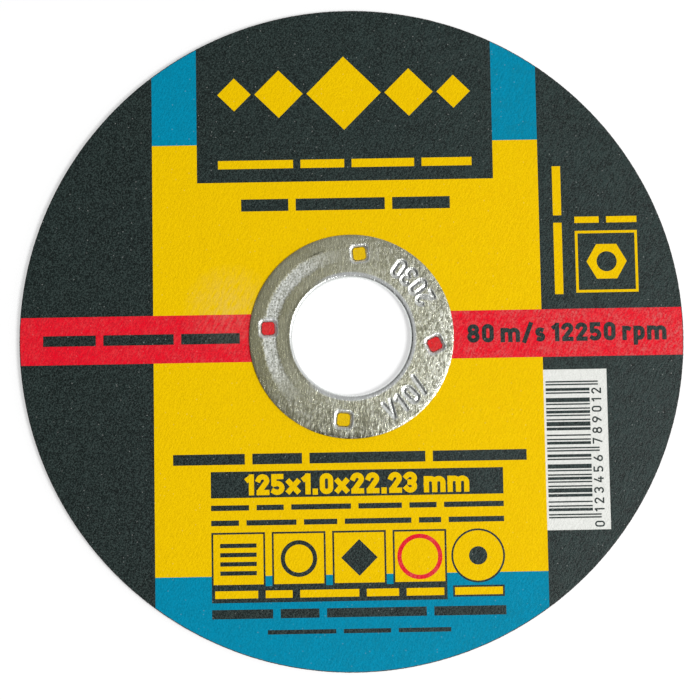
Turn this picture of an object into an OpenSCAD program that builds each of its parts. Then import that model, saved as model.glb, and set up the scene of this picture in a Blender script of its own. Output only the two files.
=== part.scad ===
// Cut-off wheel for an angle grinder: a thin disc of bonded abrasive with a printed paper label on its
// face and a tinplate ring through its bore. It lies flat with the label up: Z is the axis of the bore,
// Z = 0 is the back of the disc, and the label reads with +Y up. Lengths are millimetres, turns degrees.

/* [Disc] */
// Outer diameter of the wheel
disc_d = 125; // [115:0.5:150]
// Thickness of the bonded abrasive
disc_t = 1; // [0.8:0.1:3]

/* [Label] */
// Width of bare abrasive left round the label
label_margin = 0.2; // [0.1:0.1:2]
// Thickness of the label's paper
paper_t = 0.1; // [0.05:0.01:0.15]
// Thickness of the ink on the paper
ink_t = 0.03; // [0.01:0.01:0.05]
// Turn of the label on the disc, counter-clockwise
label_turn = 1; // [-10:0.5:10]

/* [Centre ring] */
// Diameter of the bore
bore_d = 22.23; // [20:0.01:25.4]
// Outer diameter of the ring's flange
flange_d = 38.5; // [36:0.5:44]
// Thickness of the tinplate
sheet_t = 0.3; // [0.2:0.05:0.4]
// Inner radius of the bend between flange and collar
bend_r = 0.3; // [0.2:0.05:0.4]
// How far the collar ends above the back of the disc
collar_recess = 0.05; // [0:0.05:0.2]
// Clearance between the ring and what it is pressed into
press_gap = 0.02; // [0.01:0.01:0.05]

/* [Ring teeth] */
// Turn of each pierced tooth about its own axis; there is one tooth for each value
tooth_spin = [32, 12, 8, 2]; // [-45:1:45]
// Turn of the ring of teeth from the +X axis
tooth_turn = -5.4; // [-45:0.1:45]
// How far the teeth lie outside the middle of the flat flange
tooth_shift = 0.25; // [-0.5:0.05:0.5]
// Side of a tooth's square mouth at the top of the flange
tooth_mouth = 3.3; // [3:0.1:3.6]
// Side of a tooth's square opening at its tip
tooth_tip = 2.4; // [2.2:0.1:2.8]
// Thickness of the drawn metal round the opening
tooth_wall = 0.15; // [0.1:0.05:0.2]
// How deep the tips bite into the abrasive
tooth_bite = 0.25; // [0.1:0.05:0.4]

/* [Print fields] */
// Width of the coloured panel down the middle of the label
panel_w = 73.1; // [66:0.1:80]
// Shift of the panel to the right of the axis
panel_shift = -0.7; // [-2:0.1:2]
// Height of the yellow field's upper edge above the axis
yellow_up = 36.9; // [34:0.1:42]
// Depth of the yellow field's lower edge below the axis
yellow_down = 44.4; // [42:0.1:46]
// Height of the red stripe across the middle
stripe_h = 9; // [6:0.1:12]
// Width of the black box at the top
box_w = 56.1; // [54:0.1:60]
// Height of the black box's lower edge above the axis
box_up = 29.6; // [28.5:0.1:31]

/* [Print marks] */
// Width of the column of bars and badges below the ring
column_w = 54.6; // [52:0.1:58]
// Shift of that column to the right of the axis
column_shift = 0.55; // [-1:0.05:1]
// Height of the black size bar
bar_h = 4.9; // [4:0.1:5]
// Depth of the size bar's middle below the axis
bar_down = 27.45; // [27:0.05:28]
// Side of a badge
badge_s = 10; // [8:0.1:10.4]
// Space between badges
badge_gap = 1.25; // [0.8:0.05:2]
// Depth of the badges' middle below the axis
badge_down = 41.3; // [41:0.1:42]
// Line width of a badge's frame
badge_line = 0.35; // [0.2:0.05:0.6]
// Size of the sign in a badge
sign_s = 6.8; // [5:0.1:7]
// Line width of a sign
sign_line = 0.8; // [0.4:0.1:1]
// Height of the black strip under the badges
strip_h = 3; // [2.5:0.1:3.2]
// Width of the framed tag beside the strip
tag_w = 9.6; // [8:0.1:10]
// Height of the framed tag
tag_h = 2.1; // [1.5:0.1:2.5]
// Width of the bare field for the bar code
code_w = 11.9; // [11:0.1:13]
// Length of the bare field for the bar code
code_h = 30; // [28:0.1:32]
// Depth of that field's upper edge below the axis
code_down = 6.9; // [6:0.1:8]
// Length of the code's shorter bars
code_bar = 8.2; // [6:0.1:9]
// How much longer the code's guard bars are
code_guard = 1.6; // [0:0.1:2]
// Side of the framed mark at the right
side_s = 11.75; // [10:0.05:12]
// Place of that mark's middle
side_at = [48.4, 13.4]; // [0:0.1:60]
// Line width of that mark's frame
side_line = 0.5; // [0.3:0.05:0.8]
// Height of the row above that mark over its frame
side_gap = 2.1; // [1:0.1:4]
// Width across the corners of the nut in that mark
nut_s = 7.6; // [6:0.1:9]
// Space at the sides of what stands in the black box
box_pad = 4; // [2:0.1:8]
// Space at the ends of the widest row on the panel
panel_pad = 3.5; // [1:0.1:6]
// Space at the ends of the row in the strip
strip_pad = 0.6; // [0.4:0.1:2]
// Space between the words of a row
word_gap = 1.4; // [0.8:0.1:1.6]

/* [Hidden] */
$fn = 120;

disc_r = disc_d / 2;
label_r = disc_r - label_margin;
bore_r = bore_d / 2;
flange_r = flange_d / 2;

// The collar's outside, and the radius where the bend ends and the flat flange begins
collar_r = bore_r + sheet_t;
flat_r = collar_r + bend_r;

// Levels: top of the paper, underside of the flange, middle of the bend, top of the flange
paper_z = disc_t + paper_t;
seat_z = paper_z + ink_t;
bend_z = seat_z - bend_r;
top_z = seat_z + sheet_t;

// Teeth: the circle they lie on, the level of their tips, and the roundness of their corners as the
// share of a side at which a circle cuts them off
tooth_r = (flat_r + flange_r) / 2 + tooth_shift;
tip_z = disc_t - tooth_bite;
tooth_corner = 0.6;

// A cut runs this far past the faces it opens, so that no skin is left
past = 0.1;

// The print is laid out on a circle of this radius and scaled to the label
print_r = 62.3;
print_scale = label_r / print_r;

// Places on the label, in the print's own frame
column_left = column_shift - column_w / 2;
column_right = column_shift + column_w / 2;
panel_right = panel_shift + panel_w / 2;
bar_y = -bar_down;
badge_y = -badge_down;
badge_count = 4;
badge_pitch = badge_s + badge_gap;
round_x = column_right - badge_s / 2;
strip_w = (badge_count - 1) * badge_pitch + badge_s;
strip_x = column_left + strip_w / 2;
strip_y = badge_y - badge_s / 2 - strip_h / 2;

// Rows of words as plain bars: the row's middle, its turn, its length, the height of its bars, and the
// share that each word takes
black_rows = [
    [[panel_shift, 25.2], 0, 39.5, 2.3, [9, 17, 11]],
    [[-39.5, 0], 0, 37, 2, [9, 12, 10]],
    [[panel_shift, -22.7], 0, panel_w - 2 * panel_pad, 2, [13, 9, 21, 17]],
    [[column_shift, -31.75], 0, column_w, 1, [7, 5, 11, 8, 5, 11]],
    [[column_shift, -34.55], 0, column_w, 1, [5, 9, 6, 12, 4, 10]],
    [[column_shift, -51.4], 0, column_w, 1.7, [11, 7, 18, 13]],
    [[column_shift, -54.8], 0, 34, 0.8, [13, 9, 10]]
];
yellow_rows = [
    [[panel_shift, 33], 0, box_w - 2 * box_pad, 1.6, [12, 7, 10, 8]],
    [[strip_x, strip_y], 0, strip_w - 2 * strip_pad, 1.4, [8, 5, 11, 6, 7]],
    [side_at + [0, side_s / 2 + side_gap], 0, side_s, 1.2, [4, 5]],
    [[39.3, 19.5], 90, 24.4, 1.6, [13, 9]]
];

// The row of diamonds in the black box: its height above the axis, the space between them, and the
// share that each takes
diamond_up = 46.5;
diamond_gap = 0.7;
diamond_shares = [9, 13, 20, 13, 9];

// The code: widths of its bars and of the spaces after them in units, for each of its two halves, of
// which the first bars are guards
code_bars = [1, 1, 2, 1, 3, 1, 1, 2, 1, 1, 3, 2, 1, 1, 2];
code_spaces = [1, 2, 1, 3, 1, 2, 1, 1, 2, 1, 1, 3, 2, 1, 2];
code_guards = 2;
code_halves = 2;
code_inset = 0.4;
code_margin = 2.2;
code_step = code_place(len(code_bars));
code_units = code_halves * code_step + code_place(code_guards) - code_spaces[code_guards - 1];
code_unit = (code_h - 2 * code_margin) / code_units;

function total(list, n) = n == 0 ? 0 : list[n - 1] + total(list, n - 1);

// Units from the start of a half of the code to the bar with this number
function code_place(i) = total(code_bars, i) + total(code_spaces, i);

// Where the item with this number starts in a centred row of widths
function start_of(widths, i, gap) =
    total(widths, i) + i * gap - (total(widths, len(widths)) + (len(widths) - 1) * gap) / 2;

// Widths of the items of a row, by their shares, so that items and gaps fill its length
function fill(length, shares, gap) =
    let (count = len(shares), unit = (length - (count - 1) * gap) / total(shares, count))
    [for (share = shares) share * unit];

// Side of a tooth's opening at a level between its tip and the top of the flange
function tooth_side(z) = tooth_tip + (tooth_mouth - tooth_tip) * (z - tip_z) / (top_z - tip_z);

// A rectangle about a middle point
module bar(x, y, w, h) {
    translate([x - w / 2, y - h / 2]) square([w, h]);
}

// One row of words, each a plain bar
module words(row) {
    lengths = fill(row[2], row[4], word_gap);
    translate(row[0])
        rotate(row[1])
            for (i = [0 : len(lengths) - 1])
                translate([start_of(lengths, i, word_gap), -row[3] / 2])
                    square([lengths[i], row[3]]);
}

// A square standing on its corner
module diamond(w) {
    rotate(45) square(w / sqrt(2), center = true);
}

module loop(outer_r, line) {
    difference() {
        circle(outer_r);
        circle(outer_r - line);
    }
}

// Ring teeth

module at_teeth() {
    for (i = [0 : len(tooth_spin) - 1])
        rotate(tooth_turn + i * 360 / len(tooth_spin))
            translate([tooth_r, 0, 0])
                rotate(tooth_spin[i]) children();
}

module round_square(side) {
    intersection() {
        square(side, center = true);
        circle(side * tooth_corner);
    }
}

// A tooth's tapered square form between two levels, widened by a wall
module tooth_form(z0, z1, wall) {
    side0 = tooth_side(z0) + 2 * wall;
    side1 = tooth_side(z1) + 2 * wall;
    translate([0, 0, z0])
        intersection() {
            intersection_for (turn = [0, 90])
                rotate([90, 0, turn])
                    linear_extrude(2 * tooth_mouth, center = true)
                        polygon([
                            [-side0 / 2, 0], [side0 / 2, 0],
                            [side1 / 2, z1 - z0], [-side1 / 2, z1 - z0]
                        ]);
            cylinder(h = z1 - z0, r1 = side0 * tooth_corner, r2 = side1 * tooth_corner);
        }
}

// The square groove that a tooth cuts; the plug inside it stays and shows through the ring
module tooth_groove() {
    difference() {
        round_square(tooth_side(seat_z) + 2 * (tooth_wall + press_gap));
        round_square(tooth_tip - 2 * press_gap);
    }
}

// Label fields

module label_face() {
    difference() {
        circle(label_r);
        circle(flat_r);
        at_teeth() tooth_groove();
    }
}

module panel() {
    bar(panel_shift, 0, panel_w, 2 * print_r);
}

module yellow_field() {
    bar(panel_shift, (yellow_up - yellow_down) / 2, panel_w, yellow_up + yellow_down);
}

module stripe() {
    bar(0, 0, 2 * print_r, stripe_h);
}

module code_field() {
    translate([panel_right, -code_down - code_h]) square([code_w, code_h]);
}

// One bar of the code, so many units down its field
module code_line(units, width, length) {
    translate([
        panel_right + code_inset,
        -code_down - code_margin - code_unit * (units + width)
    ])
        square([length, code_unit * width]);
}

// The bars of the code: longer guard bars start each half and end the last
module code() {
    for (half = [0 : code_halves])
        for (i = [0 : code_guards - 1])
            code_line(half * code_step + code_place(i), code_bars[i], code_bar + code_guard);
    for (half = [0 : code_halves - 1])
        for (i = [code_guards : len(code_bars) - 1])
            code_line(half * code_step + code_place(i), code_bars[i], code_bar);
}

module at_badges() {
    for ($badge = [0 : badge_count - 1])
        translate([column_left + badge_s / 2 + $badge * badge_pitch, badge_y]) children();
}

// What stands in each badge: a page of lines, a ring and a diamond; the last holds the red ring
module badge_sign() {
    page_lines = 4;
    if ($badge == 0)
        for (i = [0 : page_lines - 1])
            bar(0, (i - (page_lines - 1) / 2) * sign_s / page_lines, sign_s, sign_line);
    if ($badge == 1)
        loop(sign_s / 2, sign_line);
    if ($badge == 2)
        diamond(sign_s);
}

module red_marks() {
    at_badges()
        if ($badge == badge_count - 1)
            loop(sign_s / 2 + sign_line, sign_line);
}

// Black on the coloured panel and the stripe
module black_marks() {
    translate([panel_shift - box_w / 2, box_up]) square([box_w, print_r]);
    bar(column_shift, bar_y, column_w, bar_h);
    bar(strip_x, strip_y, strip_w, strip_h);
    at_badges() square(badge_s, center = true);
    translate([round_x, badge_y]) circle(badge_s / 2);
    bar(round_x, strip_y, tag_w, tag_h);
    for (row = black_rows)
        words(row);
}

module diamond_row() {
    widths = fill(box_w - 2 * box_pad, diamond_shares, diamond_gap);
    for (i = [0 : len(widths) - 1])
        translate([panel_shift + start_of(widths, i, diamond_gap) + widths[i] / 2, diamond_up])
            diamond(widths[i]);
}

// A six-sided nut in a square frame
module side_mark() {
    difference() {
        square(side_s, center = true);
        square(side_s - 2 * side_line, center = true);
    }
    difference() {
        circle(nut_s / 2, $fn = 6);
        circle(nut_s / 4);
    }
}

// Yellow on black
module yellow_marks() {
    field_s = badge_s - 2 * badge_line;
    diamond_row();
    for (row = yellow_rows)
        words(row);
    bar(round_x, strip_y, tag_w - 2 * badge_line, tag_h - 2 * badge_line);
    at_badges()
        difference() {
            square(field_s, center = true);
            badge_sign();
        }
    translate([round_x, badge_y])
        difference() {
            circle(field_s / 2);
            circle(sign_s / 4);
        }
    translate(side_at) side_mark();
}

// One ink on the paper
module ink() {
    translate([0, 0, paper_z])
        linear_extrude(ink_t)
            intersection() {
                label_face();
                rotate(label_turn) scale(print_scale) children();
            }
}

// Sub-parts

// The disc's section: its bore is rounded at the top to follow the ring's bend
module disc_section() {
    difference() {
        translate([collar_r + press_gap, 0])
            square([disc_r - collar_r - press_gap, disc_t]);
        difference() {
            translate([0, bend_z]) square([flat_r, disc_t]);
            translate([flat_r, bend_z]) circle(bend_r - press_gap);
        }
    }
}

module abrasive_disc() {
    color([0.16, 0.17, 0.17])
        difference() {
            rotate_extrude() disc_section();
            translate([0, 0, tip_z - press_gap])
                linear_extrude(disc_t) at_teeth() tooth_groove();
        }
}

module paper_label() {
    color([0.92, 0.92, 0.9])
        translate([0, 0, disc_t])
            linear_extrude(paper_t) label_face();
}

module print_black() {
    color([0.14, 0.18, 0.18])
        ink()
            difference() {
                union() {
                    difference() {
                        square(2 * print_r, center = true);
                        panel();
                        stripe();
                        code_field();
                    }
                    black_marks();
                    code();
                }
                yellow_marks();
                red_marks();
            }
}

module print_teal() {
    color([0, 0.56, 0.71])
        ink()
            difference() {
                panel();
                yellow_field();
                black_marks();
                yellow_marks();
            }
}

module print_yellow() {
    color([0.94, 0.8, 0])
        ink()
            difference() {
                union() {
                    difference() {
                        yellow_field();
                        stripe();
                        black_marks();
                    }
                    yellow_marks();
                }
                red_marks();
            }
}

module print_red() {
    color([0.88, 0.1, 0.18])
        ink() {
            difference() {
                stripe();
                black_marks();
            }
            red_marks();
        }
}

// The ring's section: flange, bend and collar of one sheet
module ring_section() {
    translate([flat_r, seat_z]) square([flange_r - flat_r, sheet_t]);
    translate([bore_r, collar_recess]) square([sheet_t, bend_z - collar_recess]);
    intersection() {
        translate([flat_r, bend_z]) loop(bend_r + sheet_t, sheet_t);
        translate([bore_r, bend_z]) square([flat_r - bore_r, top_z - bend_z]);
    }
}

module centre_ring() {
    color([0.72, 0.73, 0.68])
        difference() {
            union() {
                rotate_extrude() ring_section();
                at_teeth() tooth_form(tip_z, seat_z + sheet_t / 2, tooth_wall);
            }
            at_teeth() tooth_form(tip_z - past, top_z + past, 0);
        }
}

abrasive_disc();
paper_label();
print_black();
print_teal();
print_yellow();
print_red();
centre_ring();
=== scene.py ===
"""Looks of the cut-off wheel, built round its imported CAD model.

The paper label and its four inks keep their CAD nodes and get print materials. The abrasive disc and the
tinplate ring are replaced by finer meshes of the same form: the disc with a gritty rim and the weave of
its glass net on the back, the ring with flared teeth, a coined band and a stamped date. Lengths are in
millimetres and angles in degrees, as in the CAD model. Lengths become metres where an object is made.
"""

import math

import bmesh
import bpy
import numpy as np
from mathutils import Matrix, Vector, noise
from mathutils.geometry import delaunay_2d_cdt


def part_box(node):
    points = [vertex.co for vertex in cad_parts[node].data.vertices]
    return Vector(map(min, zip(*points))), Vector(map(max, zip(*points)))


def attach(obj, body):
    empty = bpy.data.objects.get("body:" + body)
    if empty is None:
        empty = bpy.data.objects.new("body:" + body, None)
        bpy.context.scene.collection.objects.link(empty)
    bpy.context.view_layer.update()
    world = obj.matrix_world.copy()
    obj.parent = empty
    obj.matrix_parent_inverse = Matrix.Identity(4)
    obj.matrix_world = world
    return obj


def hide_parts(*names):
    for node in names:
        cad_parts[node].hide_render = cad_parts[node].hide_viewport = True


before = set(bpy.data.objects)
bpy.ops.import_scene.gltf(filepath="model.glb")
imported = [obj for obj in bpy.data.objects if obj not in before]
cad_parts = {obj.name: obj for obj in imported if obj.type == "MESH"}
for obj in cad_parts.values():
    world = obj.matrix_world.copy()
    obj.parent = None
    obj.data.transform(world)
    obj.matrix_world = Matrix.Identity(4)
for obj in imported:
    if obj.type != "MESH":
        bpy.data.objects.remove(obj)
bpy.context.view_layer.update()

MM = 0.001

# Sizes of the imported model
DISC_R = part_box("abrasive_disc")[1].x / MM
DISC_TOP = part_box("abrasive_disc")[1].z / MM
PAPER_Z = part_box("paper_label")[1].z / MM
SEAT_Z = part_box("print_black")[1].z / MM
FLANGE_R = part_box("centre_ring")[1].x / MM
FLANGE_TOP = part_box("centre_ring")[1].z / MM
COLLAR_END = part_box("centre_ring")[0].z / MM

# Ring, as in the CAD source: bore, sheet, bend and press clearance
BORE_R = 11.115
SHEET = 0.3
BEND_R = 0.3
PRESS_GAP = 0.02
COLLAR_R = BORE_R + SHEET
FLAT_R = COLLAR_R + BEND_R
BEND_Z = SEAT_Z - BEND_R

# Teeth, as in the CAD source: their circle, which lies outside the middle of the flange, their angles on
# it and their turns about their own axes
TOOTH_OUT = 0.25
TOOTH_R = (FLAT_R + FLANGE_R) / 2 + TOOTH_OUT
TOOTH_TURNS = [-5.4, 84.6, 174.6, 264.6]
TOOTH_SPINS = [32, 12, 8, 2]
TEETH = range(len(TOOTH_TURNS))

# A tooth's square form, as in the CAD source: sides at its mouth, at its tip and under the flange, the
# reach of its corners as a share of a side, its wall and its bite into the disc
TOOTH_MOUTH = 3.3
TOOTH_TIP = 2.4
TOOTH_CORNER = 0.6
TOOTH_WALL = 0.15
TOOTH_BITE = 0.25
TIP_Z = DISC_TOP - TOOTH_BITE
TOOTH_SEAT = TOOTH_TIP + (TOOTH_MOUTH - TOOTH_TIP) * (SEAT_Z - TIP_Z) / (FLANGE_TOP - TIP_Z)

# The flare of a tooth's mouth: its side, the steps down it and the points round it
LIP_SIDE = 3.6
LIP_STEPS = 10
TOOTH_POINTS = 64

# Mesh of the ring: points round its edges, and spacing on its face and near its stamped date
RING_POINTS = 480
RING_STEP = 0.16
STAMP_STEP = 0.08
STAMP_NEAR = 0.7

# The flange's rounded edge, the curl that the flange runs out in, the bend and the collar's end
EDGE_ROUND = 0.1
EDGE_STEPS = 5
EDGE_R = FLANGE_R - EDGE_ROUND
CURL_W = 0.6
CURL_DROP = 0.04
BEND_STEPS = 10
COLLAR_CHAMFER = 0.06

# The coined band: its circle, half its width, the angles between which it runs, how it fades at its
# ends and frays at its edges, and its relief
BAND_R = 15.45
BAND_HALF_W = 1.48
BAND_FROM = 86
BAND_TO = 242
BAND_FADE = 50
BAND_FRAY = 0.5
BAND_DEPTH = 0.02
BAND_GRAIN = 0.03
BAND_GRAIN_SIZE = 0.3

# How far the polish of the teeth's mouths and of the stamped strokes runs out on the flange, and its
# shares on both
BURNISH_W = 0.15
MOUTH_POLISH = 0.65
STAMP_POLISH = 0.7

# The lip of the bore: how far it runs out on the flange, how it fades there and at the bend, and the
# shares of its polish and of the painted shade on its left side
LIP_W = 0.6
LIP_FADE = 0.3
LIP_BEND_FADE = 0.12
LIP_POLISH = 0.9
LIP_PAINTED_SHADE = 0.4

# The painted shade on the left side of the lip: the angle of its middle, half its angle, and how it fades
LIP_SHADE_AT = 175
LIP_SHADE_HALF = 45
LIP_SHADE_FADE = 25

# The stretch of the edge that is scuffed dark: its width, the angles it runs between and how it fades
SCUFF_W = 1.3
SCUFF_FROM = -118
SCUFF_TO = -66
SCUFF_FADE = 14

# The dark nick beside the coined band: its circle, half its width, the angles it runs between, its fade
NICK_R = 16.95
NICK_HALF_W = 0.3
NICK_FROM = 106
NICK_TO = 120
NICK_FADE = 5

# The stamped date: glyphs with the angles where they stand, and the size of a glyph
STAMP = [
    *zip("2030", (27.4, 36.8, 46.2, 55)),
    *zip("v10/", (-62, -53.2, -44.4, -35.8)),
]
STAMP_R = 15.6
STAMP_H = 3.1
STAMP_STROKE = 0.45
STAMP_DEPTH = 0.19

# Mesh of the disc: points round the back and spacing of its rings, levels of the rim and of the bore's
# rounded top, and points round a groove
BACK_POINTS = 720
BACK_STEP = 0.5
RIM_LEVELS = 7
BORE_LEVELS = 4
GROOVE_POINTS = 32

# The grit of the rim, and the weave of the glass net: pitch, width and depth of its yarns, how far they
# dip where they cross, the turn of the weave, and the grit on it
RIM_GRIT = 0.09
RIM_GRIT_SIZE = 0.35
NET_PITCH = 3.4
NET_YARN = 1.5
NET_DEPTH = 0.1
NET_DIP = 0.3
NET_TURN = 21
NET_GRIT = 0.03
NET_GRIT_SIZE = 0.8

# Numerals printed on the label, in the label's own frame: the text, the middle, the turn, the width and
# height of the text, the width of its strokes, the level that it is printed on, and the ink
LABEL_TURN = 1
NUMERAL_INK = 0.01
NUMERAL_LIFT = 0.001
NUMERALS = {
    "size_number": ("125x1.0x22.23 mm", (0.6, -27.5), 0, (41.8, 3.9), 0.98, SEAT_Z, "yellow_ink"),
    "speed_number": ("80 m/s 12250 rpm", (40.5, 0.15), 0, (37.5, 3.5), 0.82, SEAT_Z, "black_ink"),
    "code_number_first": ("0", (45.7, -35.8), 90, (1.18, 1.85), 0.28, PAPER_Z, "black_ink"),
    "code_number_low": ("123456", (45.7, -28.3), 90, (10.5, 1.85), 0.28, PAPER_Z, "black_ink"),
    "code_number_high": ("789012", (45.7, -15.7), 90, (10.5, 1.85), 0.28, PAPER_Z, "black_ink"),
}

# Mesh building


class Skin:
    """Points and faces of one mesh under construction, in millimetres."""

    def __init__(self):
        self.points = []
        self.faces = []

    def add(self, points):
        """Adds points and returns their numbers."""
        first = len(self.points)
        self.points.extend(tuple(p) for p in points)
        return list(range(first, len(self.points)))

    def bridge(self, a, b):
        """Quads between two closed loops of equally many points."""
        for i in range(len(a)):
            j = (i + 1) % len(a)
            self.faces.append((a[i], a[j], b[j], b[i]))

    def sweep(self, loops):
        """Quads through closed loops of numbers, each to the next."""
        for a, b in zip(loops, loops[1:]):
            self.bridge(a, b)

    def fan(self, coarse, fine):
        """Triangles between a closed loop and one of twice as many points."""
        for i in range(len(coarse)):
            j = (i + 1) % len(coarse)
            a, b, c = fine[2 * i], fine[2 * i + 1], fine[(2 * i + 2) % len(fine)]
            self.faces += [(coarse[i], a, b), (coarse[i], b, coarse[j]), (coarse[j], b, c)]

    def fill(self, loops, inside=()):
        """Triangles through closed loops and points, where an odd number of the loops lies round them."""
        numbers = [n for loop in loops for n in loop] + list(inside)
        rings = []
        first = 0
        for loop in loops:
            rings.append(range(first, first + len(loop)))
            first += len(loop)
        flat = [Vector(self.points[n][:2]) for n in numbers]
        whole_hull, tolerance, with_origins = 0, 1e-7, True
        result = delaunay_2d_cdt(flat, [], rings, whole_hull, tolerance, with_origins)
        triangles, rings_round = result[2], result[5]
        self.faces += [[numbers[i] for i in t] for t, r in zip(triangles, rings_round) if len(r) % 2]

    def to_piece(self, name, material, sharp=40):
        """The mesh as an object that rides on the part, in metres."""
        mesh = bpy.data.meshes.new(name)
        mesh.from_pydata((np.array(self.points) * MM).tolist(), [], self.faces)
        solid = bmesh.new()
        solid.from_mesh(mesh)
        bmesh.ops.recalc_face_normals(solid, faces=solid.faces)
        solid.to_mesh(mesh)
        solid.free()
        mesh.shade_smooth()
        mesh.set_sharp_from_angle(angle=math.radians(sharp))
        mesh.materials.append(material)
        piece = bpy.data.objects.new(name, mesh)
        bpy.context.scene.collection.objects.link(piece)
        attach(piece, "root")
        return piece


def give_share(piece, name, share):
    """Gives a mesh a value at each point, for its material."""
    attribute = piece.data.attributes.new(name, "FLOAT", "POINT")
    attribute.data.foreach_set("value", share.astype(np.float32))


def circle(radius, z, count):
    """Points of a circle about the axis."""
    turns = np.arange(count) * 2 * math.pi / count
    return np.column_stack([radius * np.cos(turns), radius * np.sin(turns), np.full(count, z)])


def quarter(steps):
    """Angles of a quarter turn in radians, without its start."""
    return np.linspace(0, math.pi / 2, steps + 1)[1:]


def smooth(value):
    """Smooth step from 0 to 1."""
    t = np.clip(value, 0, 1)
    return t * t * (3 - 2 * t)


def grain(places, size, seed):
    """Noise from -1 to 1 at each place, with grains of about the given size."""
    return np.array([noise.noise(Vector((x / size, y / size, z / size + seed))) for x, y, z in places])


# Teeth


def tooth_frame(x, y, tooth):
    """Coordinates in a tooth's own frame."""
    turn = math.radians(TOOTH_TURNS[tooth])
    spin = turn + math.radians(TOOTH_SPINS[tooth])
    dx = x - TOOTH_R * math.cos(turn)
    dy = y - TOOTH_R * math.sin(turn)
    return dx * math.cos(spin) + dy * math.sin(spin), dy * math.cos(spin) - dx * math.sin(spin)


def tooth_reach(x, y):
    """Side of the rounded square, about the nearest tooth, that passes through each point."""
    reach = np.full(np.shape(x), np.inf)
    for tooth in TEETH:
        u, v = tooth_frame(x, y, tooth)
        side = np.maximum(2 * np.maximum(np.abs(u), np.abs(v)), np.hypot(u, v) / TOOTH_CORNER)
        reach = np.minimum(reach, side)
    return reach


def tooth_loop(tooth, side, z, count):
    """Points round a tooth's rounded square."""
    turn = math.radians(TOOTH_TURNS[tooth])
    spin = turn + math.radians(TOOTH_SPINS[tooth])
    way = np.arange(count) * 2 * math.pi / count
    flat = side / 2 / np.maximum(np.abs(np.cos(way)), np.abs(np.sin(way)))
    reach = np.minimum(flat, side * TOOTH_CORNER)
    x = TOOTH_R * math.cos(turn) + reach * np.cos(way + spin)
    y = TOOTH_R * math.sin(turn) + reach * np.sin(way + spin)
    return np.column_stack([x, y, np.full(count, z)])


# Glyphs

# Angle between the points of an arc
ARC_STEP = 18


def arc(x, y, radius, start, end):
    """Points of an arc, from one angle to another."""
    turns = np.radians(np.linspace(start, end, round(abs(end - start) / ARC_STEP) + 1))
    return [(x + radius * math.cos(t), y + radius * math.sin(t)) for t in turns]


# Strokes of the glyphs, in a box of height 1 about its middle
SIX = [arc(0, -0.24, 0.26, 0, 360), [(-0.2, -0.06), (0.08, 0.46)]]
GLYPHS = {
    "0": [arc(0, 0.26, 0.24, 0, 180) + arc(0, -0.26, 0.24, 180, 360) + [(0.24, 0.26)]],
    "1": [[(0.05, 0.5), (0.05, -0.5)], [(-0.15, 0.34), (0, 0.46)]],
    "2": [arc(0, 0.26, 0.24, 165, -35) + [(-0.15, -0.38)], [(-0.2, -0.5), (0.24, -0.5)]],
    "3": [arc(0, 0.25, 0.25, 150, -90), arc(0, -0.25, 0.25, 90, -150)],
    "4": [[(0.04, 0.48), (-0.21, -0.15)], [(-0.24, -0.26), (0.26, -0.26)], [(0.12, 0), (0.12, -0.5)]],
    "5": [[(0.2, 0.5), (-0.2, 0.5), (-0.2, 0.08)], arc(-0.02, -0.22, 0.28, 120, -130)],
    "6": SIX,
    "7": [[(-0.24, 0.5), (0.24, 0.5)], [(0.2, 0.38), (-0.07, -0.48)]],
    "8": [arc(0, 0.27, 0.23, 0, 360), arc(0, -0.24, 0.26, 0, 360)],
    "9": [[(-x, -y) for x, y in stroke] for stroke in SIX],
    "x": [[(-0.24, -0.44), (0.24, 0.15)], [(-0.24, 0.15), (0.24, -0.44)]],
    "m": [
        [(-0.48, -0.5), (-0.48, 0.2)],
        *[arc(x, -0.04, 0.24, 180, 0) + [(x + 0.24, -0.5)] for x in (-0.24, 0.24)],
    ],
    "p": [
        [(-0.22, -0.84), (-0.22, 0.2)],
        arc(0, -0.02, 0.22, 0, 180) + arc(0, -0.28, 0.22, 180, 360) + [(0.22, -0.02)],
    ],
    "r": [[(-0.14, -0.5), (-0.14, 0.2)], arc(0.04, 0.02, 0.18, 180, 55)],
    "s": [arc(0, 0.025, 0.175, 60, 270) + arc(0, -0.325, 0.175, 90, -120)[1:]],
    "v": [[(-0.24, 0.5), (0, -0.5), (0.24, 0.5)]],
    ".": [[(0, -0.53), (0, -0.47)]],
    "/": [[(-0.2, -0.58), (0.2, 0.58)]],
}

# Numerals

# How much wider glyphs are set than drawn, the gap between words to that between glyphs, and the
# sharpest mitre at a corner
GLYPH_WIDE = 1.1
WORD_GAP = 1.65
MITRE = 1.6


def set_text(text, length):
    """Strokes of a line of text that fills the given length, for glyphs of height 1."""
    glyphs = [[np.array(stroke) * (GLYPH_WIDE, 1) for stroke in GLYPHS[g]] for g in text if g != " "]
    spans = [np.concatenate(glyph)[:, 0] for glyph in glyphs]
    gaps = [WORD_GAP if after == " " else 1 for g, after in zip(text, text[1:]) if g != " "] + [0]
    gap = (length - sum(np.ptp(span) for span in spans)) / max(sum(gaps), 1)
    strokes = []
    left = 0
    for glyph, span, after in zip(glyphs, spans, gaps):
        strokes += [stroke + (left - span.min(), 0) for stroke in glyph]
        left += np.ptp(span) + after * gap
    return strokes


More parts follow.
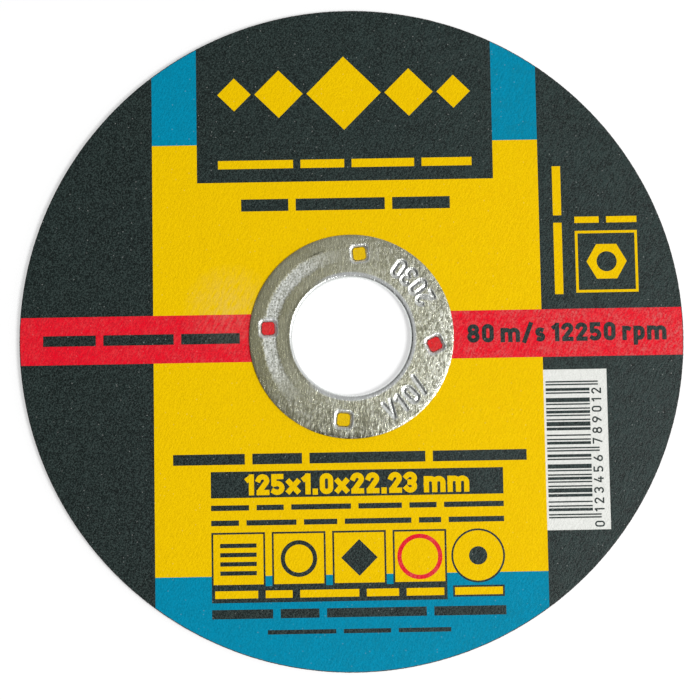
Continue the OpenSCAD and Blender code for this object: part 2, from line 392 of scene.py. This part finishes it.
def add_ribbon(skin, path, width, low, high):
    """A flat closed ribbon along a path, with mitred corners and square ends."""
    closed = np.allclose(path[0], path[-1])
    path = path[:-1] if closed else path
    ahead = np.roll(path, -1, 0) - path
    ahead /= np.linalg.norm(ahead, axis=1)[:, None]
    behind = np.roll(ahead, 1, 0)
    if not closed:
        ahead[-1], behind[0] = behind[-1], ahead[0]
        path[0] -= ahead[0] * width / 2
        path[-1] += ahead[-1] * width / 2
    along = ahead + behind
    side = along[:, ::-1] * (-1, 1) * (width / np.maximum((along**2).sum(1), MITRE))[:, None]
    corners = [(path - side, low), (path + side, low), (path + side, high), (path - side, high)]
    rows = [skin.add(np.column_stack([place, np.full(len(path), z)])) for place, z in corners]
    loops = [list(loop) for loop in zip(*rows)]
    if closed:
        skin.sweep([*loops, loops[0]])
    else:
        skin.sweep(loops)
        skin.faces += [loops[0], loops[-1]]


def make_numerals(inks):
    """Sizes and counts printed on the label; each stroke lies a trace above the one before it."""
    label = np.array(Matrix.Rotation(math.radians(LABEL_TURN), 2))
    for name, (text, middle, turn, (width, height), stroke, level, ink) in NUMERALS.items():
        skin = Skin()
        scale = height - stroke
        length = (width - stroke) / scale
        turned = np.array(Matrix.Rotation(math.radians(turn), 2))
        for order, path in enumerate(set_text(text, length)):
            path = scale * (path - (length / 2, 0)) @ turned.T + middle
            high = level + NUMERAL_INK + order * NUMERAL_LIFT
            add_ribbon(skin, path @ label.T, stroke, level, high)
        skin.to_piece(name, inks[ink])


# Stamped date


def stroke_distance(u, v, stroke):
    """Distance of each point from one stroke."""
    nearest = np.full(np.shape(u), np.inf)
    for (x0, y0), (x1, y1) in zip(stroke, stroke[1:]):
        dx, dy = x1 - x0, y1 - y0
        share = np.clip(((u - x0) * dx + (v - y0) * dy) / (dx * dx + dy * dy), 0, 1)
        nearest = np.minimum(nearest, np.hypot(u - x0 - share * dx, v - y0 - share * dy))
    return nearest


def stamp_distance(x, y):
    """Distance of each point from the stamped date, whose glyphs have their tops to the bore."""
    nearest = np.full(np.shape(x), np.inf)
    for glyph, angle in STAMP:
        turn = math.radians(angle)
        dx, dy = x - STAMP_R * math.cos(turn), y - STAMP_R * math.sin(turn)
        u = (dy * math.cos(turn) - dx * math.sin(turn)) / STAMP_H
        v = -(dx * math.cos(turn) + dy * math.sin(turn)) / STAMP_H
        for stroke in GLYPHS[glyph]:
            nearest = np.minimum(nearest, STAMP_H * stroke_distance(u, v, stroke))
    return nearest


# Ring


def band_share(x, y):
    """How far each point lies in the coined band, from 0 to 1."""
    angle = np.degrees(np.arctan2(y, x)) % 360
    places = np.column_stack([x, y, np.zeros(len(x))])
    fray = BAND_FRAY * grain(places, BAND_GRAIN_SIZE, seed=5.2)
    inside = BAND_HALF_W - np.abs(np.hypot(x, y) - BAND_R)
    ends = np.minimum(angle - BAND_FROM, BAND_TO - angle) / BAND_FADE
    return smooth((inside + fray) / BAND_FRAY) * smooth(ends)


def lip_share(x, y):
    """How far each point lies on the polished part of the bore's lip, and on its painted-shade left side.
    """
    angle = np.degrees(np.arctan2(y, x)) % 360
    radius = np.hypot(x, y)
    lip = smooth((FLAT_R + LIP_W - radius) / LIP_FADE)
    bend = smooth((FLAT_R - radius) / LIP_BEND_FADE)
    # Off the bend, the left side of the lip gets painted shade instead of polish
    polished = np.maximum(bend, smooth((np.abs(angle - LIP_SHADE_AT) - LIP_SHADE_HALF) / LIP_SHADE_FADE))
    return lip * polished, lip * (1 - polished)


def burnish_share(x, y):
    """How far each point was polished by the press: bore's lip, teeth's mouths and stamped strokes."""
    mouth = smooth((LIP_SIDE + 2 * BURNISH_W - tooth_reach(x, y)) / (2 * BURNISH_W))
    stamped = smooth((STAMP_STROKE + BURNISH_W - stamp_distance(x, y)) / BURNISH_W)
    lip = lip_share(x, y)[0]
    return np.maximum.reduce([LIP_POLISH * lip, MOUTH_POLISH * mouth, STAMP_POLISH * stamped])


def scuff_and_shade_share(x, y):
    """How far each point is darkened: edge scuffs, nick beside the band, painted shade on the lip's left
    side.
    """
    angle = np.degrees(np.arctan2(y, x))
    radius = np.hypot(x, y)
    edge = smooth((radius - FLANGE_R + SCUFF_W) / SCUFF_W)
    edge *= smooth(np.minimum(angle - SCUFF_FROM, SCUFF_TO - angle) / SCUFF_FADE)
    nick = smooth(1 - np.abs(radius - NICK_R) / NICK_HALF_W)
    nick *= smooth(np.minimum(angle - NICK_FROM, NICK_TO - angle) / NICK_FADE)
    return np.maximum.reduce([edge, nick, LIP_PAINTED_SHADE * lip_share(x, y)[1]])


def flange_face(x, y):
    """Heights of the flange's upper face: curled edge, coined band and stamped date."""
    curl = np.clip((np.hypot(x, y) - FLANGE_R + CURL_W) / CURL_W, 0, 1)
    places = np.column_stack([x, y, np.zeros(len(x))])
    rough = 0.5 + 0.5 * grain(places, BAND_GRAIN_SIZE, seed=3.7)
    return (
        FLANGE_TOP
        - CURL_DROP * curl**2
        - band_share(x, y) * (BAND_DEPTH + BAND_GRAIN * rough)
        - STAMP_DEPTH * (1 - smooth(stamp_distance(x, y) / STAMP_STROKE))
    )


def spread_points(inner, outer, step):
    """Evenly spread points on a flat ring, clear of its edges."""
    rows = []
    for row in range(1, int((outer - inner) / step)):
        radius = inner + row * step
        count = round(2 * math.pi * radius / step)
        turns = (np.arange(count) + 0.5 * (row % 2)) * 2 * math.pi / count
        rows.append(np.column_stack([radius * np.cos(turns), radius * np.sin(turns)]))
    return np.concatenate(rows)


def face_points(inner, outer):
    """Points on the flange's face, clear of its edges and teeth, and closer together at the date."""
    coarse = spread_points(inner, outer, RING_STEP)
    fine = spread_points(inner, outer, STAMP_STEP)
    coarse = coarse[stamp_distance(*coarse.T) > STAMP_NEAR]
    fine = fine[stamp_distance(*fine.T) <= STAMP_NEAR]
    places = np.concatenate([coarse, fine])
    return places[tooth_reach(*places.T) > LIP_SIDE + RING_STEP]


def add_edge(skin, top, low):
    """The flange's outer edge, rounded at the top."""
    rounding = []
    for t in quarter(EDGE_STEPS):
        radius = EDGE_R + EDGE_ROUND * math.sin(t)
        z = FLANGE_TOP - CURL_DROP - EDGE_ROUND * (1 - math.cos(t))
        rounding.append(skin.add(circle(radius, z, RING_POINTS)))
    skin.sweep([top, *rounding, low])


def add_collar(skin, top, low):
    """The bend into the bore, the collar with its chamfered end, and the underside of the bend."""
    bends = []
    for radius in (BEND_R + SHEET, BEND_R):
        rows = [(FLAT_R - radius * math.sin(t), BEND_Z + radius * math.cos(t)) for t in quarter(BEND_STEPS)]
        bends.append([skin.add(circle(r, z, RING_POINTS)) for r, z in rows])
    end = [
        (BORE_R, COLLAR_END + COLLAR_CHAMFER),
        (BORE_R + COLLAR_CHAMFER, COLLAR_END),
        (COLLAR_R - COLLAR_CHAMFER, COLLAR_END),
        (COLLAR_R, COLLAR_END + COLLAR_CHAMFER),
    ]
    ends = [skin.add(circle(r, z, RING_POINTS)) for r, z in end]
    skin.sweep([top, *bends[0], *ends, *reversed(bends[1]), low])


def add_tooth(skin, tooth, top, low):
    """A tooth: the flared mouth down to the tip, and back up the outside."""
    flare = []
    for t in quarter(LIP_STEPS):
        side = TOOTH_TIP + (LIP_SIDE - TOOTH_TIP) * (1 - math.sin(t))
        z = FLANGE_TOP - (FLANGE_TOP - TIP_Z) * (1 - math.cos(t))
        flare.append(skin.add(tooth_loop(tooth, side, z, TOOTH_POINTS)))
    tip = skin.add(tooth_loop(tooth, TOOTH_TIP + 2 * TOOTH_WALL, TIP_Z, TOOTH_POINTS))
    skin.sweep([top, *flare, tip, low])


def make_ring(material):
    """The tinplate ring: flange with four pierced teeth, bend and collar, as one closed sheet."""
    skin = Skin()

    # Upper face
    top_inner = skin.add(circle(FLAT_R, FLANGE_TOP, RING_POINTS))
    top_outer = skin.add(circle(EDGE_R, FLANGE_TOP - CURL_DROP, RING_POINTS))
    top_teeth = [skin.add(tooth_loop(i, LIP_SIDE, FLANGE_TOP, TOOTH_POINTS)) for i in TEETH]
    places = face_points(FLAT_R, EDGE_R)
    inside = skin.add(np.column_stack([places, flange_face(*places.T)]))
    skin.fill([top_inner, top_outer, *top_teeth], inside)

    # Underside
    low_inner = skin.add(circle(FLAT_R, SEAT_Z, RING_POINTS))
    low_outer = skin.add(circle(EDGE_R, SEAT_Z, RING_POINTS))
    seat_side = TOOTH_SEAT + 2 * TOOTH_WALL
    low_teeth = [skin.add(tooth_loop(i, seat_side, SEAT_Z, TOOTH_POINTS)) for i in TEETH]
    skin.fill([low_inner, low_outer, *low_teeth])

    add_edge(skin, top_outer, low_outer)
    add_collar(skin, top_inner, low_inner)
    for tooth, top, low in zip(TEETH, top_teeth, low_teeth):
        add_tooth(skin, tooth, top, low)

    ring = skin.to_piece("tinplate_ring", material)
    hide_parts("centre_ring")
    x, y = np.array(skin.points)[:, :2].T
    give_share(ring, "coined", band_share(x, y))
    give_share(ring, "burnished", burnish_share(x, y))
    # Scuffs, with the painted shade on the left side of the bore's lip
    give_share(ring, "scuffed_and_shaded", scuff_and_shade_share(x, y))


# Disc


def net_height(x, y):
    """Height of the woven glass net, from 0 between its yarns to 1 on their crests."""
    turn = math.radians(NET_TURN)
    u = (x * math.cos(turn) + y * math.sin(turn)) / NET_PITCH
    v = (y * math.cos(turn) - x * math.sin(turn)) / NET_PITCH
    half = NET_YARN / NET_PITCH / 2
    height = np.zeros(np.shape(x))
    for across, along, start in ((u, v, 0), (v, u, 1)):
        away = np.abs(across - np.round(across)) / half
        round_top = np.sqrt(np.clip(1 - away**2, 0, 1))
        over = 1 - NET_DIP + NET_DIP * np.cos(math.pi * (along + np.round(across) + start))
        height = np.maximum(height, round_top * over)
    return height


def add_back(skin, bore_r):
    """Loops of the disc's back, from the bore outwards, with the weave of the net."""
    radii = np.linspace(bore_r, DISC_R - BACK_STEP, round((DISC_R - bore_r) / BACK_STEP))
    places = np.concatenate([circle(radius, 0, BACK_POINTS) for radius in radii])
    hollow = NET_DEPTH * (1 - net_height(places[:, 0], places[:, 1]))
    grit = NET_GRIT * (0.5 + 0.5 * grain(places, NET_GRIT_SIZE, seed=1.3))
    places[:, 2] = hollow + grit
    numbers = skin.add(places)
    loops = [numbers[i : i + BACK_POINTS] for i in range(0, len(numbers), BACK_POINTS)]
    skin.sweep(loops)
    return loops


def add_rim(skin):
    """Loops of the gritty rim, from the back up. The first is set in by one more grain."""
    loops = []
    for level in range(RIM_LEVELS):
        z = level * DISC_TOP / (RIM_LEVELS - 1)
        places = circle(1, z, 2 * BACK_POINTS)
        bite = 0.5 + 0.5 * grain(places * (DISC_R, DISC_R, 1), RIM_GRIT_SIZE, seed=7.1)
        if level == 0:
            bite += 1
        places[:, :2] *= (DISC_R - RIM_GRIT * bite)[:, None]
        loops.append(skin.add(places))
    return loops


def make_disc(material):
    """The abrasive disc: woven back, gritty rim, flat face with the grooves of the ring's teeth."""
    skin = Skin()
    back = add_back(skin, COLLAR_R + PRESS_GAP)
    rim = add_rim(skin)
    skin.fan(back[-1], rim[0])
    skin.sweep(rim)

    # Bore, rounded at the top to follow the ring's bend
    bend = BEND_R - PRESS_GAP
    bore = []
    for lift in np.linspace(0, DISC_TOP - BEND_Z, BORE_LEVELS):
        radius = FLAT_R - math.sqrt(bend**2 - lift**2)
        bore.append(skin.add(circle(radius, BEND_Z + lift, BACK_POINTS)))
    skin.sweep([back[0], *bore])

    # Face, with a groove round each plug
    outside = TOOTH_SEAT + 2 * (TOOTH_WALL + PRESS_GAP)
    plug = TOOTH_TIP - 2 * PRESS_GAP
    floor_z = TIP_Z - PRESS_GAP
    edges = []
    for tooth in TEETH:
        steps = [(outside, DISC_TOP), (outside, floor_z), (plug, floor_z), (plug, DISC_TOP)]
        walls = [skin.add(tooth_loop(tooth, side, z, GROOVE_POINTS)) for side, z in steps]
        skin.sweep(walls)
        edges += [walls[0], walls[-1]]
    skin.fill([rim[-1], bore[-1], *edges])

    disc = skin.to_piece("bonded_disc", material, sharp=60)
    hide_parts("abrasive_disc")
    x, y, z = np.array(skin.points).T
    on_back = (z < DISC_TOP / 2) & (np.hypot(x, y) < DISC_R - BACK_STEP)
    give_share(disc, "net", net_height(x, y) * on_back)


# Materials


def linear(srgb):
    """A colour in 0 to 255 as Blender's linear colour."""
    shares = [c / 255 for c in srgb]
    return [c / 12.92 if c <= 0.04045 else ((c + 0.055) / 1.055) ** 2.4 for c in shares] + [1]


# The printed label: for each node its material, its colours when clean, worn and in the grain of the
# paper, its gloss and roughness, and how strongly it is speckled. The worn colour also serves as painted
# sheen, laid on more to the right, and as painted highlights along the creases
PRINT = {
    "paper_label": ("paper", (240, 241, 236), (228, 230, 224), (228, 229, 224), 0.2, 0.5, 0.1),
    "print_black": ("black_ink", (0, 14, 12), (36, 55, 53), (49, 64, 61), 0.25, 0.42, 0.28),
    "print_teal": ("teal_ink", (0, 146, 183), (16, 128, 152), (0, 130, 163), 0.04, 0.42, 0.16),
    "print_yellow": ("yellow_ink", (249, 206, 0), (242, 194, 0), (236, 193, 0), 0.03, 0.45, 0.1),
    "print_red": ("red_ink", (246, 6, 38), (214, 106, 103), (211, 25, 43), 0.06, 0.42, 0.16),
}

# Where the label is rubbed pale beside the ring: the place, how far it reaches, its share and colour
RUB_AT = (-23, 5, SEAT_Z)
RUB_R = 9
RUB_SHARE = 0.16
RUB_COLOUR = linear((206, 192, 168))

# The painted shade on the plugs down inside the ring's teeth, and the specks on the print
PLUG_SHADE_SHARE = 0.12
PLUG_SHADE_COLOUR = linear((110, 96, 62))
SPECK_COLOUR = linear((205, 208, 204))

# Tones of the tinplate. Those named for sides are painted light and shade: painted shade at the left,
# painted light at the right, a painted highlight at the lower right and painted shade at the upper right
TIN = {
    "lower left": linear((164, 162, 130)),
    "upper left": linear((184, 182, 152)),
    "right": linear((222, 223, 204)),
    "painted highlight, lower right": linear((242, 243, 230)),
    "painted shade, upper right": linear((130, 128, 104)),
    "at the bore": linear((222, 222, 200)),
    "clouded": linear((164, 160, 122)),
    "grained": linear((216, 218, 200)),
    "dark pebble": linear((118, 117, 96)),
    "pale pebble": linear((248, 249, 238)),
    "dark streak": linear((84, 83, 66)),
    "pale streak": linear((240, 242, 228)),
    # Scuffs, and the painted shade on the left side of the bore's lip
    "scuffed_and_shaded": linear((56, 54, 42)),
    "pitted": linear((60, 56, 44)),
    "low in the band": linear((142, 144, 128)),
    "high in the band": linear((240, 242, 236)),
    "burnished": linear((234, 237, 237)),
}


class Look:
    """A node material with one Principled surface, whose textures are laid out in millimetres."""

    def __init__(self, name, **constants):
        self.material = bpy.data.materials.new(name)
        self.material.use_nodes = True
        self.tree = self.material.node_tree
        self.surface = self.tree.nodes["Principled BSDF"]
        for socket, value in constants.items():
            self.surface.inputs[socket.replace("_", " ")].default_value = value
        metres = self.tree.nodes.new("ShaderNodeTexCoord").outputs["Object"]
        self.place = self.node("ShaderNodeVectorMath", {0: metres, "Scale": 1 / MM}, "SCALE")

    def node(self, kind, inputs, operation=None, **settings):
        """A node with its inputs set or linked, and its first output."""
        node = self.tree.nodes.new(kind)
        if operation:
            node.operation = operation
        for name, value in settings.items():
            setattr(node, name, value)
        for socket, value in inputs.items():
            if isinstance(value, bpy.types.NodeSocket):
                self.tree.links.new(value, node.inputs[socket])
            else:
                node.inputs[socket].default_value = value
        return node.outputs["Value" if operation == "DISTANCE" else 0]

    def attribute(self, name):
        """A value that the mesh carries at its points."""
        node = self.tree.nodes.new("ShaderNodeAttribute")
        node.attribute_name = name
        return node.outputs["Fac"]

    def axis(self, name, turn=0):
        """One coordinate of the place, turned about Z."""
        node = self.tree.nodes.new("ShaderNodeSeparateXYZ")
        self.tree.links.new(self.stretched((1, 1, 1), turn) if turn else self.place, node.inputs[0])
        return node.outputs[name]

    def distance(self, point):
        """How far the place is from a point."""
        return self.node("ShaderNodeVectorMath", {0: self.place, 1: point}, "DISTANCE")

    def math(self, operation, a, b):
        """The result of an operation on two values."""
        return self.node("ShaderNodeMath", {0: a, 1: b}, operation)

    def times(self, a, b):
        """The product of two values."""
        return self.math("MULTIPLY", a, b)

    def stretched(self, scale, turn=0):
        """The place, turned about Z and then scaled along each axis."""
        angle = math.radians(turn)
        inputs = {"Vector": self.place, "Angle": angle}
        turned = self.node("ShaderNodeVectorRotate", inputs, rotation_type="Z_AXIS")
        return self.node("ShaderNodeVectorMath", {0: turned, 1: scale}, "MULTIPLY")

    def noise(self, scale, detail, roughness, place=None):
        """Noise from 0 to 1, with so many features a millimetre."""
        inputs = {"Vector": place or self.place, "Scale": scale, "Detail": detail, "Roughness": roughness}
        return self.node("ShaderNodeTexNoise", inputs)

    def ramp(self, value, low, high, low_to=0.0, high_to=1.0):
        """A value spread from one range to another, and held at its ends."""
        return self.node("ShaderNodeMapRange", {0: value, 1: low, 2: high, 3: low_to, 4: high_to})

    def mix(self, share, a, b):
        """A colour between two colours or colour sockets."""
        return self.node("ShaderNodeMixRGB", {"Fac": share, "Color1": a, "Color2": b})

    def specks(self, per_mm, share, size):
        """Round specks in some of the cells of a random pattern."""
        cells = self.tree.nodes.new("ShaderNodeTexVoronoi")
        self.tree.links.new(self.place, cells.inputs["Vector"])
        cells.inputs["Scale"].default_value = per_mm
        pick = self.node("ShaderNodeSeparateColor", {0: cells.outputs["Color"]})
        chosen = self.math("LESS_THAN", pick, share)
        spot = self.ramp(cells.outputs["Distance"], size, size / 2)
        return self.times(chosen, spot)

    def bump(self, height, depth, normal=None):
        """A bump of so many millimetres, on top of another if one is given."""
        inputs = {"Height": height, "Distance": depth * MM, "Strength": 1.0}
        if normal:
            inputs["Normal"] = normal
        return self.node("ShaderNodeBump", inputs)

    def set(self, **sockets):
        """Links values to inputs of the surface."""
        for name, socket in sockets.items():
            self.tree.links.new(socket, self.surface.inputs[name.replace("_", " ")])


def print_look(name, clean, wear_and_sheen, grained, gloss, roughness, speckled):
    """Ink on paper over grit, with wear, rubbed by the ring and speckled; painted sheen to the right and on
    creases, and painted shade on the plugs in the ring's teeth.
    """
    look = Look(name, Specular_IOR_Level=gloss)
    clouds = look.noise(0.3, detail=4, roughness=0.6)
    flecks = look.noise(1.5, detail=4, roughness=0.65, place=look.stretched((1.7, 0.6, 1), 30))
    pressed = look.noise(3.3, detail=3, roughness=0.6)
    creases = look.noise(1.0, detail=3, roughness=0.6, place=look.stretched((2.2, 0.5, 1), 27))

    # Wear in clouds of flecks, with painted sheen: the worn colour is laid on more to the right, and along
    # the creases as painted highlights; and the grain of the paper
    painted_sheen_to_right = look.ramp(look.axis("X"), -40, 50, 0.3, 1.0)
    wear = look.times(look.ramp(clouds, 0.3, 0.65), look.ramp(flecks, 0.38, 0.62))
    colour = look.mix(look.times(wear, painted_sheen_to_right), linear(clean), linear(wear_and_sheen))
    # Painted highlights on the creases, in the worn colour, stronger to the right
    painted_crease_highlights = look.times(look.ramp(creases, 0.5, 0.7, 0, 0.6), painted_sheen_to_right)
    colour = look.mix(painted_crease_highlights, colour, linear(wear_and_sheen))
    colour = look.mix(look.ramp(pressed, 0.44, 0.64), colour, linear(grained))

    # The rubbed place, the painted shade on the plugs and the specks
    near = look.ramp(look.distance(RUB_AT), RUB_R, 0, 0, RUB_SHARE)
    colour = look.mix(look.times(near, look.ramp(creases, 0.35, 0.6)), colour, RUB_COLOUR)
    # Painted shade: the label is darkened where it shows down in the ring's teeth
    plugs = look.math("LESS_THAN", look.distance((0, 0, SEAT_Z)), FLANGE_R - CURL_W)
    colour = look.mix(look.times(plugs, PLUG_SHADE_SHARE), colour, PLUG_SHADE_COLOUR)
    specks = look.specks(per_mm=1.2, share=0.2, size=0.17)
    colour = look.mix(look.times(specks, speckled), colour, SPECK_COLOUR)

    look.set(
        Base_Color=colour,
        Roughness=look.ramp(pressed, 0.3, 0.7, roughness - 0.05, roughness + 0.08),
        Normal=look.bump(pressed, 0.1, look.bump(creases, 0.07)),
    )
    return look.material


def tinplate_look():
    """Worn tinplate: upright scratches, grain and pits, pale polished bends and band, and painted light:
    shaded at the left and lit at the right.
    """
    look = Look("tinplate", Metallic=1.0)
    upright = look.noise(1.0, detail=4, roughness=0.65, place=look.stretched((3.4, 0.8, 1), 4))
    scores = look.noise(1.0, detail=2, roughness=0.5, place=look.stretched((7, 0.25, 1), -9))
    fine = look.noise(3.2, detail=4, roughness=0.7)
    clouds = look.noise(0.25, detail=3, roughness=0.55)
    pebbles = look.noise(1.7, detail=3, roughness=0.6, place=look.stretched((1.3, 0.8, 1), 20))
    pits = look.specks(per_mm=1.0, share=0.06, size=0.17)

    # Painted light: shaded at the left, most at the lower left, and lit at the right; paler towards the
    # bore and more so at the right; a painted highlight at the lower right and painted shade at the upper
    # right
    bright = look.ramp(look.axis("X", 18), -14, 17)
    left = look.mix(look.ramp(look.axis("Y"), -8, 12), TIN["lower left"], TIN["upper left"])
    tone = look.mix(bright, left, TIN["right"])
    # Painted highlight at the lower right and painted shade at the upper right
    for turn, share, side in ((25, 0.35, "painted highlight, lower right"), (-45, 0.25, "painted shade, upper right")):
        near = look.ramp(look.axis("X", turn), 12.5, 17, 0, share)
        tone = look.mix(near, tone, TIN[side])
    inner = look.ramp(look.distance((0, 0, FLANGE_TOP)), 15, 13.5)
    tone = look.mix(look.times(inner, look.ramp(bright, 0, 0.5, 0.15, 0.4)), tone, TIN["at the bore"])
    tone = look.mix(look.ramp(clouds, 0.4, 0.65, 0, 0.35), tone, TIN["clouded"])
    tone = look.mix(look.ramp(fine, 0.5, 0.7, 0, 0.4), tone, TIN["grained"])

    # Dark and pale grains at the right, where the painted light is, and below; dark and pale streaks below;
    # scuffs, which also carry the painted shade on the left of the bore's lip; and pits
    wear_and_sheen = look.math("MAXIMUM", bright, look.ramp(look.axis("Y"), -6, -13, 0, 0.6))
    below = look.ramp(look.axis("Y"), -9, -18)
    scuffed_and_shaded = look.attribute("scuffed_and_shaded")
    for where, marks, mark in (
        (wear_and_sheen, look.ramp(pebbles, 0.49, 0.6, 0, 0.75), "dark pebble"),
        (wear_and_sheen, look.ramp(pebbles, 0.5, 0.38, 0, 0.65), "pale pebble"),
        (below, look.ramp(upright, 0.48, 0.57, 0, 0.75), "dark streak"),
        (below, look.ramp(upright, 0.47, 0.39, 0, 0.4), "pale streak"),
        # Scuffs, and the painted shade on the left side of the bore's lip
        (scuffed_and_shaded, look.ramp(upright, 0.36, 0.56, 0.35, 0.95), "scuffed_and_shaded"),
        (pits, 0.7, "pitted"),
    ):
        tone = look.mix(look.times(where, marks), tone, TIN[mark])

    # Band and bends
    grit = look.mix(look.ramp(fine, 0.36, 0.58), TIN["low in the band"], TIN["high in the band"])
    coined = look.attribute("coined")
    tone = look.mix(coined, tone, grit)
    burnished = look.attribute("burnished")
    tone = look.mix(burnished, tone, TIN["burnished"])

    # Relief, which is worn down on the bore's lip, the most polished place
    kept = look.ramp(burnished, STAMP_POLISH, LIP_POLISH, 1, 0.2)
    scratched = look.times(look.math("SUBTRACT", upright, 0.5), kept)
    normal = look.bump(scratched, 0.05)
    normal = look.bump(look.ramp(scores, 0.6, 0.7), 0.012, normal)
    rough = look.times(look.math("SUBTRACT", fine, 0.5), look.ramp(bright, 0, 0.5, 0.4, 1))
    normal = look.bump(look.times(rough, kept), 0.05, normal)
    matt = look.times(coined, 0.2)
    roughness = look.math("ADD", matt, look.ramp(upright, 0.3, 0.7, 0.2, 0.34))
    look.set(Base_Color=tone, Roughness=roughness, Normal=normal)
    return look.material


def abrasive_look():
    """Black resin-bonded grit with bright grain faces, and paler yarns of the glass net."""
    look = Look("bonded_abrasive")
    grit = look.noise(3.2, detail=4, roughness=0.65)
    grains = look.specks(per_mm=2.4, share=0.22, size=0.3)
    shade = look.mix(look.ramp(grit, 0.35, 0.7), linear((26, 27, 27)), linear((62, 63, 61)))
    shade = look.mix(look.times(grains, 0.55), shade, linear((128, 122, 112)))
    shade = look.mix(look.times(look.attribute("net"), 0.5), shade, linear((96, 95, 90)))
    look.set(
        Base_Color=shade,
        Roughness=look.ramp(grains, 0, 1, 0.78, 0.35),
        Normal=look.bump(grit, 0.16),
    )
    return look.material


# Stage

# The floor: half its side, how far it lies under the wheel, its colour, and its glow to the camera
FLOOR_HALF = 400
FLOOR_DROP = 0.02
FLOOR_COLOUR = linear((200, 200, 200))
FLOOR_GLOW = 0.5

# The lamp, and the strengths of the walls and of the room's two sides above them
KEY_AT = (514, -208, 709)
KEY_SIZE = 280
KEY_WATTS = 5.5
WALL_STRENGTH = 1.0
LEFT_STRENGTH = 0.03
RIGHT_STRENGTH = 0.75

# The camera: its distance, its lean, the point that it looks at, and the width of the picture there
CAMERA_AWAY = 300
CAMERA_LEAN = 4.5
CAMERA_TARGET = (-0.28, -2.56, 1)
FRAME_W = 131.6


def light_path_share(tree, strength):
    """A strength that holds for camera, glossy and transmission rays only."""
    path = tree.nodes.new("ShaderNodeLightPath")
    total = path.outputs["Is Camera Ray"]
    for name in ("Is Glossy Ray", "Is Transmission Ray"):
        either = tree.nodes.new("ShaderNodeMath")
        either.operation = "MAXIMUM"
        tree.links.new(total, either.inputs[0])
        tree.links.new(path.outputs[name], either.inputs[1])
        total = either.outputs[0]
    scaled = tree.nodes.new("ShaderNodeMath")
    scaled.operation = "MULTIPLY"
    scaled.inputs[1].default_value = strength
    tree.links.new(total, scaled.inputs[0])
    return scaled.outputs[0]


def make_floor():
    """A white floor that keeps the shadow of the wheel."""
    mesh = bpy.data.meshes.new("floor")
    corners = [(-1, -1), (1, -1), (1, 1), (-1, 1)]
    places = [(x * FLOOR_HALF * MM, y * FLOOR_HALF * MM, -FLOOR_DROP * MM) for x, y in corners]
    mesh.from_pydata(places, [], [(0, 1, 2, 3)])
    material = bpy.data.materials.new("floor")
    material.use_nodes = True
    tree = material.node_tree
    surface = tree.nodes["Principled BSDF"]
    surface.inputs["Base Color"].default_value = FLOOR_COLOUR
    surface.inputs["Roughness"].default_value = 0.9
    surface.inputs["Specular IOR Level"].default_value = 0
    surface.inputs["Emission Color"].default_value = (1, 1, 1, 1)
    tree.links.new(light_path_share(tree, FLOOR_GLOW), surface.inputs["Emission Strength"])
    mesh.materials.append(material)
    floor = bpy.data.objects.new("floor", mesh)
    bpy.context.scene.collection.objects.link(floor)


def aim(obj, target):
    """Turns a lamp or the camera to a point."""
    obj.rotation_euler = (Vector(target) - obj.location).to_track_quat("-Z", "Y").to_euler()


def make_lamp():
    """A square soft lamp at the right, aimed at the middle of the wheel."""
    data = bpy.data.lights.new("key", "AREA")
    data.shape = "SQUARE"
    data.size = KEY_SIZE * MM
    data.energy = KEY_WATTS
    lamp = bpy.data.objects.new("key", data)
    lamp.location = Vector(KEY_AT) * MM
    aim(lamp, (0, 0, 0))
    bpy.context.scene.collection.objects.link(lamp)


def spread(tree, value, low, high):
    """A node that spreads a value, whose ends are given as pairs of what comes in and what goes out."""
    node = tree.nodes.new("ShaderNodeMapRange")
    tree.links.new(value, node.inputs["Value"])
    for end, (source, result) in (("Min", low), ("Max", high)):
        node.inputs["From " + end].default_value = source
        node.inputs["To " + end].default_value = result
    return node


def make_world():
    """A room with white walls near the floor, and above them a dim left and a paler right."""
    world = bpy.data.worlds.new("studio")
    world.use_nodes = True
    tree = world.node_tree
    place = tree.nodes.new("ShaderNodeTexCoord")
    split = tree.nodes.new("ShaderNodeSeparateXYZ")
    tree.links.new(place.outputs["Generated"], split.inputs[0])
    side = spread(tree, split.outputs["X"], (-0.7, LEFT_STRENGTH), (0.6, RIGHT_STRENGTH))
    height = spread(tree, split.outputs["Z"], (0.08, WALL_STRENGTH), (0.3, 0.0))
    tree.links.new(side.outputs[0], height.inputs["To Max"])
    backdrop = tree.nodes["Background"]
    backdrop.inputs["Color"].default_value = (1, 1, 1, 1)
    tree.links.new(height.outputs[0], backdrop.inputs["Strength"])
    bpy.context.scene.world = world


def make_camera():
    """The camera of the photograph: above the wheel, leaning a little to its lower edge."""
    lean = math.radians(CAMERA_LEAN)
    target = Vector(CAMERA_TARGET)
    data = bpy.data.cameras.new("camera")
    data.sensor_width = 36
    data.lens = data.sensor_width * CAMERA_AWAY / FRAME_W
    camera = bpy.data.objects.new("camera", data)
    camera.location = (target + CAMERA_AWAY * Vector((0, -math.sin(lean), math.cos(lean)))) * MM
    aim(camera, target * MM)
    bpy.context.scene.collection.objects.link(camera)
    bpy.context.scene.camera = camera


def main():
    """Builds the stage, the replaced pieces and the printed label."""
    make_camera()
    make_floor()
    make_world()
    make_lamp()
    make_ring(tinplate_look())
    make_disc(abrasive_look())
    inks = {}
    for node, (name, *qualities) in PRINT.items():
        inks[name] = print_look(name, *qualities)
        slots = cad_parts[node].data.materials
        slots.clear()
        slots.append(inks[name])
    make_numerals(inks)
    bpy.context.scene.view_settings.view_transform = "Standard"


main()
